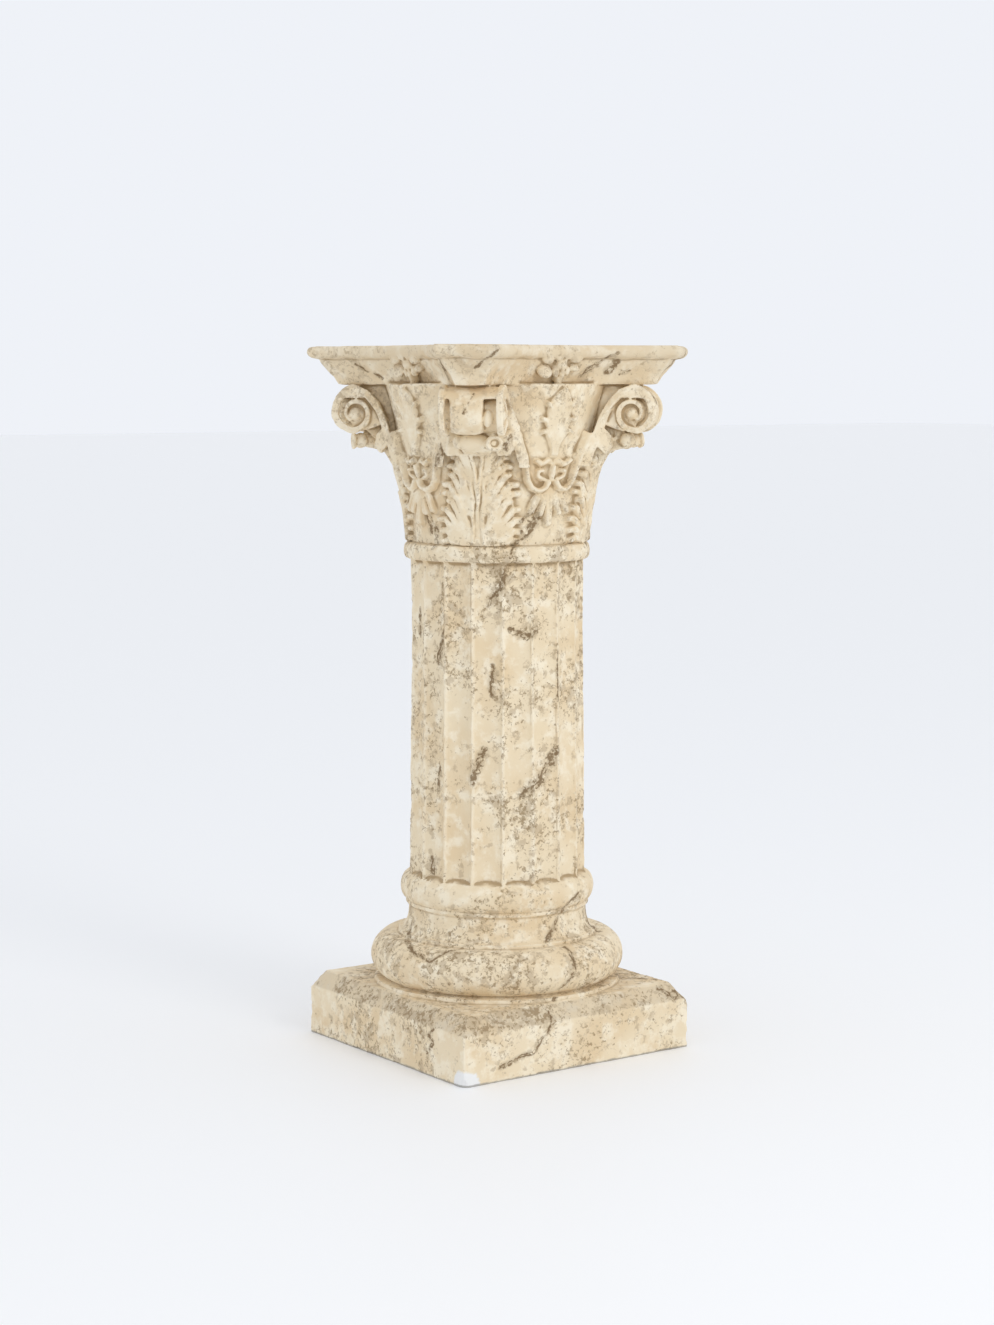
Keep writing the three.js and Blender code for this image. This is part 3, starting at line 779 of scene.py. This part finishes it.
def cast(name, parts, fineness, reach, sway):
    """Fuses the parts into one worn skin and keeps on it how deep each place lies, with painted shade and
    painted highlights added in.

    The depth is against the surroundings, over a wider reach the more rounds it has. The sway is
    how far, at most, the shapes wander from true, as hand-modelled ones do.
    """
    bpy.ops.object.select_all(action="DESELECT")
    for part in parts:
        part.select_set(True)
    bpy.context.view_layer.objects.active = parts[0]
    bpy.ops.object.join()
    skin = bpy.context.object
    skin.name = name
    fuse = skin.modifiers.new("fuse", "REMESH")
    fuse.mode = "VOXEL"
    fuse.voxel_size = fineness
    bpy.ops.object.modifier_apply(modifier="fuse")

    places = settle(skin.data, read_points(skin.data), 1)
    for axis in range(3):
        places[:, axis] += sway * mottle(places, 15 * mm, 31 + axis)
    skin.data.vertices.foreach_set("co", places.ravel())
    skin.data.update()
    facing = read_normals(skin.data)
    rounded = settle(skin.data, places, 10)
    arris = np.clip(-((rounded - places) * facing).sum(axis=1) / (0.7 * mm), 0, 1)
    crumbling = np.clip(1.5 * mottle(places, 11 * mm, 3) + 0.8 * mottle(places, 4 * mm, 4) - 0.2, 0, 1)
    dent = crumble_depth * arris * crumbling
    dent += wave_depth * (mottle(places, 38 * mm, 5) + 0.6 * mottle(places, 14 * mm, 6))
    pitted = np.clip(mottle(places, 20 * mm, 7) + 0.2, 0, 1)
    dent += pit_depth * pitted * np.clip(mottle(places, 3.4 * mm, 8) - 0.25, 0, 1)
    places = places - facing * np.clip(dent, -wave_depth, None)[:, None]
    for corner_place, way, depth, spread in chips:
        way = np.array(way) / np.linalg.norm(way)
        offset = places - np.array(corner_place)
        over = offset @ way + depth * mm + 1.8 * mm * mottle(places, 7 * mm, 9)
        near_it = np.linalg.norm(offset, axis=1) < spread * mm
        places = places - way * (np.clip(over, 0, None) * near_it)[:, None]
    places = np.clip(places, np.array(node_low) + box_margin, np.array(node_high) - box_margin)
    places[places[:, 2] < flat_foot, 2] = 0
    skin.data.vertices.foreach_set("co", places.ravel())
    skin.data.update()

    # How deep each place lies against its surroundings: the paint makes hollows darker, as dirt and painted
    # shade, and convex edges lighter, as a painted highlight.
    lifted = settle(skin.data, places, reach) - places
    deep = (lifted * read_normals(skin.data)).sum(axis=1)[:, None] / mm
    deep = settle(skin.data, deep, 1)[:, 0]
    # Painted shade in the crease over the neck ring.
    deep += crease_shade * (np.abs(places[:, 2] - bell_foot) < 1.5 * mm)
    # The flutes' dirt, painted shade and painted highlight.
    deep += flute_shade_and_highlight(places, read_normals(skin.data))
    layer = skin.data.attributes.new("deep", "FLOAT", "POINT")
    layer.data.foreach_set("value", deep.astype(np.float32))
    thin = skin.modifiers.new("thin", "DECIMATE")
    thin.ratio = min(1, most_triangles / (2 * len(skin.data.polygons)))
    bpy.ops.object.modifier_apply(modifier="thin")
    return skin


skins = [
    cast("painted_shaft_and_foot", foot_parts, fineness=1.2 * mm, reach=7, sway=0.4 * mm),
    cast("painted_capital", capital_parts, fineness=1.1 * mm, reach=11, sway=1.1 * mm),
]

# Paint: matt cream, brushed on thinly, with clustered grey-brown flecks and dark broken veins in
# imitation of travertine, dirt and painted shade in the hollows, painted highlights on edges and
# beside the arrises, grime and a painted contact shadow along the foot, and bare white plaster
# where the foot is chipped.
# A vein is its width in millimetres and its route, as degrees round and millimetres up.
veins = [
    (3.0, [(-26, 559), (-34, 539), (-42, 518)]), (1.8, [(-106, 503), (-104, 478)]),
    (2.4, [(-76, 482), (-82, 450)]), (2.6, [(-40, 440), (-41, 418)]),
    (2.4, [(-25, 484), (-17, 475), (-7, 483)]), (0.9, [(8, 456), (8, 405)]),
    (1.8, [(-97, 371), (-97, 355)]), (3.2, [(-43, 351), (-53, 313)]),
    (4.0, [(9, 346), (-3, 323), (-19, 302)]), (2.0, [(-80, 326), (-81, 301)]),
    (2.4, [(-84, 223), (-83, 210)]), (1.8, [(-17, 611), (-20, 603), (-19, 594)]),
    (1.8, [(-17, 611), (-12, 614), (-8, 606), (-11, 597), (-16, 590), (-21, 583), (-27, 566)]),
    (1.4, [(-12, 606), (-15, 597)]), (3.0, [(-67, 686), (-70, 665)]), (2.6, [(-28, 701), (-29, 688)]),
    (2.6, [(-79, 598), (-79, 583)]), (2.2, [(-84, 607), (-84, 596)]),
    (3.4, [(-58, 777), (-58, 764)]), (1.6, [(-121, 775), (-120, 770)]), (1.6, [(-117, 766), (-116, 763)]),
    (1.3, [(-37, 789), (-43, 772)]), (1.0, [(-44, 751), (-46, 731)]),
    (2.2, [(23, 787), (16, 763)]), (3.0, [(26, 778), (25, 772)]), (1.8, [(31, 772), (30, 768)]),
    (1.6, [(-106, 165), (-106, 142), (-93, 134), (-81, 129), (-68, 122), (-60, 133)]),
    (1.9, [(21, 189), (11, 169), (3, 151), (-5, 139)]),
    (1.9, [(2, 134), (1, 125), (1, 111), (-8, 81)]),
    (1.9, [(-12, 66), (-14, 46), (-21, 29), (-33, 18)]), (2.4, [(38, 70), (40, 62)]),
    (1.5, [(-60, 56), (-62, 47), (-60, 39), (-62, 28)]),
]

# Veins on the hidden sides are drawn by chance, from a fixed seed.
hidden_veins = 34
chance = random.Random(12)
for _ in range(hidden_veins):
    azimuth = chance.uniform(40, 235)
    height = chance.choice((chance.uniform(20, 190), chance.uniform(205, 560), chance.uniform(590, 790)))
    drift = chance.uniform(-12, 12)
    drop = chance.uniform(12, 42)
    bend = (azimuth + drift * 0.6, height - drop / 2)
    route = [(azimuth, height), bend, (azimuth + drift, height - drop)]
    veins.append((chance.uniform(1.2, 3.6), route))

points = np.vstack([read_points(skin.data) for skin in skins])
radius = np.hypot(points[:, 0], points[:, 1])
azimuth = np.degrees(np.arctan2(points[:, 0], -points[:, 1]))
usual_radius = 120
search_reach = 4.5


def on_surface(where):
    """Outermost point of the casting near an (azimuth, height), measured on a usual radius."""
    turn_gap = np.radians((azimuth - where[0] + 180) % 360 - 180) * usual_radius
    height_gap = points[:, 2] / mm - where[1]
    gap = np.hypot(turn_gap, height_gap)
    close = np.where(gap < max(search_reach, gap.min() + 0.1), radius, 0)
    return points[np.argmax(close)]


# Each place keeps how far off the nearest vein is, and how far to its side, in vein widths.
vein_spread = 1.5
out_of_reach = 8.0
tiny = 1e-9
vein_near = np.full(len(points), out_of_reach)
vein_side = np.full(len(points), out_of_reach)
for width, route in veins:
    places = [on_surface(where) for where in route]
    for start, end in zip(places, places[1:]):
        run = end - start
        length = np.linalg.norm(run) + tiny
        part = np.clip((points - start) @ run / length**2, 0, 1)
        offset = points - start - part[:, None] * run
        outward = (start + end) * np.array([1, 1, 0])
        sideways = np.cross(run, outward)
        sideways = sideways / (np.linalg.norm(sideways) + tiny)
        gap = np.linalg.norm(offset, axis=1) / (vein_spread * width * mm)
        nearer = gap < vein_near
        vein_near = np.where(nearer, gap, vein_near)
        aside = np.clip(offset @ sideways / (vein_spread * width * mm), -out_of_reach, out_of_reach)
        vein_side = np.where(nearer, aside, vein_side)

start = 0
for skin in skins:
    end = start + len(skin.data.vertices)
    for name, values in (("vein_near", vein_near), ("vein_side", vein_side)):
        layer = skin.data.attributes.new(name, "FLOAT", "POINT")
        layer.data.foreach_set("value", values[start:end].astype(np.float32))
    start = end

paint = bpy.data.materials.new("travertine_paint")
paint.use_nodes = True
nodes = paint.node_tree.nodes
links = paint.node_tree.links
shader = nodes["Principled BSDF"]
shader.inputs["Roughness"].default_value = 0.82
shader.inputs["Specular IOR Level"].default_value = 0.35


def feed(socket, value):
    """Plug a socket or a plain value into an input."""
    if isinstance(value, bpy.types.NodeSocket):
        links.new(value, socket)
    else:
        socket.default_value = value


def reckon(operation, first, second=0.0, third=0.0):
    """A sum of two or three numbers."""
    node = nodes.new("ShaderNodeMath")
    node.operation = operation
    feed(node.inputs[0], first)
    feed(node.inputs[1], second)
    feed(node.inputs[2], third)
    return node.outputs[0]


def band_of(value, low, high):
    """0 where value is low, 1 where it is high, smooth between."""
    node = nodes.new("ShaderNodeMapRange")
    node.interpolation_type = "SMOOTHSTEP"
    feed(node.inputs["Value"], value)
    feed(node.inputs["From Min"], low)
    feed(node.inputs["From Max"], high)
    return node.outputs["Result"]


def layer_over(under, over, amount):
    """One colour laid over another by an amount."""
    node = nodes.new("ShaderNodeMix")
    node.data_type = "RGBA"
    feed(node.inputs["Factor"], amount)
    feed(node.inputs["A"], under)
    feed(node.inputs["B"], over)
    return node.outputs["Result"]


where = nodes.new("ShaderNodeTexCoord").outputs["Object"]


def grain(size, detail, shift=(0, 0, 0)):
    """Noise whose lumps are about as wide as size."""
    mapping = nodes.new("ShaderNodeMapping")
    mapping.inputs["Location"].default_value = shift
    links.new(where, mapping.inputs["Vector"])
    node = nodes.new("ShaderNodeTexNoise")
    node.inputs["Scale"].default_value = 0.5 / size
    node.inputs["Detail"].default_value = detail
    node.inputs["Roughness"].default_value = 0.6
    links.new(mapping.outputs["Vector"], node.inputs["Vector"])
    return node.outputs["Fac"]


def stored(name):
    """A value kept on the mesh."""
    node = nodes.new("ShaderNodeAttribute")
    node.attribute_name = name
    return node.outputs["Fac"]


cream = (0.84, 0.712, 0.505, 1)
warm_cream = (0.775, 0.617, 0.40, 1)
pale_cream = (0.94, 0.855, 0.68, 1)
hollow_dirt_and_shade = (0.36, 0.24, 0.115, 1)
tan = (0.47, 0.365, 0.235, 1)
fleck_brown = (0.29, 0.195, 0.095, 1)
vein_brown = (0.20, 0.125, 0.055, 1)
bare_plaster = (0.86, 0.86, 0.85, 1)
grime_and_contact_shadow = (0.30, 0.28, 0.25, 1)

deep = stored("deep")
# Dirt and painted shade in the hollows, read from the depth kept on the mesh.
crevice = band_of(deep, 0.13, 0.55)
# Painted highlight where the surface is convex.
edge_highlight = band_of(deep, -0.14, -0.6)
patch = grain(42 * mm, 2)
small_patch = grain(9 * mm, 4)
colour = layer_over(cream, warm_cream, band_of(patch, 0.42, 0.66))
colour = layer_over(colour, pale_cream, reckon("MULTIPLY", band_of(small_patch, 0.46, 0.66), 0.7))
# Painted highlight on convex edges and beside the arrises.
colour = layer_over(colour, pale_cream, reckon("MULTIPLY", edge_highlight, 0.5))
# Dirt and painted shade laid into creases and recesses.
crevice_dirt_and_shade = reckon("MULTIPLY", crevice, reckon("ADD", 0.5, small_patch))
colour = layer_over(colour, hollow_dirt_and_shade, reckon("MULTIPLY", crevice_dirt_and_shade, 0.8))

split = nodes.new("ShaderNodeSeparateXYZ")
links.new(where, split.inputs["Vector"])
rise = split.outputs["Z"]
shoulder = reckon("MULTIPLY", band_of(rise, 55 * mm, 58 * mm), band_of(rise, 74.5 * mm, 72.5 * mm))
torus_back = reckon("MULTIPLY", band_of(rise, 84 * mm, 96 * mm), band_of(rise, 134 * mm, 120 * mm))
denser = reckon("MAXIMUM", shoulder, reckon("MULTIPLY", torus_back, 0.7))
cluster = reckon("MULTIPLY_ADD", edge_highlight, 0.05, grain(30 * mm, 3, shift=(3, 1, 2)))
cluster = reckon("MULTIPLY_ADD", denser, 0.09, cluster)
crowded = band_of(cluster, 0.40, 0.56)
worm = reckon("ABSOLUTE", reckon("SUBTRACT", grain(3.6 * mm, 3, shift=(1, 4, 0)), 0.5))
worm_break = band_of(grain(3.4 * mm, 2, shift=(0, 2, 6)), 0.50, 0.58)
worm = reckon("MULTIPLY", band_of(worm, 0.040, 0.012), worm_break)
grit = band_of(reckon("MULTIPLY_ADD", cluster, 0.5, grain(2.6 * mm, 4)), 0.86, 0.92)
tan_patch = band_of(reckon("MULTIPLY_ADD", cluster, 0.6, grain(5 * mm, 5, shift=(5, 5, 1))), 0.84, 0.94)
fleck = reckon("MAXIMUM", reckon("MULTIPLY", worm, crowded), grit)
colour = layer_over(colour, tan, reckon("MULTIPLY", shoulder, reckon("MULTIPLY", small_patch, 0.7)))
# The abacus is tinted a little towards tan.
abacus_tint = band_of(rise, abacus_foot - 4 * mm, abacus_foot + 34 * mm)
colour = layer_over(colour, tan, reckon("MULTIPLY", abacus_tint, 0.2))
plainer = reckon("MULTIPLY_ADD", band_of(rise, bell_foot, bell_foot + 12 * mm), -0.4, 1.0)
fleck = reckon("MULTIPLY", fleck, plainer)
colour = layer_over(colour, tan, reckon("MULTIPLY", reckon("MULTIPLY", tan_patch, plainer), 0.55))
colour = layer_over(colour, fleck_brown, reckon("MULTIPLY", fleck, 0.7))

wander = reckon("MULTIPLY_ADD", grain(8 * mm, 4, shift=(7, 0, 0)), 6.0, -3.0)
other_wander = reckon("MULTIPLY_ADD", grain(5 * mm, 4, shift=(0, 8, 3)), 8.0, -4.0)
strand = band_of(reckon("ABSOLUTE", reckon("ADD", stored("vein_side"), wander)), 0.62, 0.25)
other = band_of(reckon("ABSOLUTE", reckon("ADD", stored("vein_side"), other_wander)), 0.45, 0.15)
reach = band_of(reckon("ADD", stored("vein_near"), grain(4 * mm, 3, shift=(0, 5, 0))), 2.2, 1.5)
broken = band_of(grain(3.2 * mm, 3, shift=(0, 0, 9)), 0.40, 0.50)
vein = reckon("MULTIPLY", reckon("MAXIMUM", strand, other), reach)
halo = reckon("MULTIPLY", band_of(stored("vein_near"), 2.0, 0.5), broken)
colour = layer_over(colour, tan, reckon("MULTIPLY", halo, 0.6))
colour = layer_over(colour, vein_brown, reckon("MULTIPLY", vein, reckon("MULTIPLY_ADD", broken, 0.5, 0.35)))

to_chip = nodes.new("ShaderNodeVectorMath")
to_chip.operation = "DISTANCE"
links.new(where, to_chip.inputs[0])
to_chip.inputs[1].default_value = (-half_side + 4 * mm, -half_side + 4 * mm, 2 * mm)
chip_reach = reckon("MULTIPLY_ADD", small_patch, 20 * mm, to_chip.outputs["Value"])
colour = layer_over(colour, bare_plaster, band_of(chip_reach, 28 * mm, 24 * mm))
# Grime and a painted contact shadow along the bottom of the plinth.
foot_grime_and_shadow = band_of(reckon("MULTIPLY_ADD", small_patch, 5 * mm, rise), 5.5 * mm, 3.5 * mm)
colour = layer_over(colour, grime_and_contact_shadow, reckon("MULTIPLY", foot_grime_and_shadow, 0.75))
links.new(colour, shader.inputs["Base Color"])

height = reckon("MULTIPLY", fleck, -0.5)
height = reckon("ADD", height, reckon("MULTIPLY", vein, -0.6))
height = reckon("ADD", height, reckon("MULTIPLY", small_patch, 1.2))
height = reckon("ADD", height, reckon("MULTIPLY", grain(1.4 * mm, 3, shift=(2, 2, 2)), 0.5))
bump = nodes.new("ShaderNodeBump")
bump.inputs["Strength"].default_value = 0.7
bump.inputs["Distance"].default_value = 0.7 * mm
links.new(height, bump.inputs["Height"])
links.new(bump.outputs["Normal"], shader.inputs["Normal"])

for skin in skins:
    skin.data.materials.clear()
    skin.data.materials.append(paint)
    bpy.ops.object.select_all(action="DESELECT")
    skin.select_set(True)
    bpy.context.view_layer.objects.active = skin
    bpy.ops.object.shade_smooth_by_angle(angle=math.radians(30))
    crisp = skin.modifiers.new("crisp", "WEIGHTED_NORMAL")
    crisp.mode = "FACE_AREA_WITH_ANGLE"
    crisp.keep_sharp = True
    bpy.ops.object.modifier_apply(modifier="crisp")
    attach(skin, "root")
    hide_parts("column")
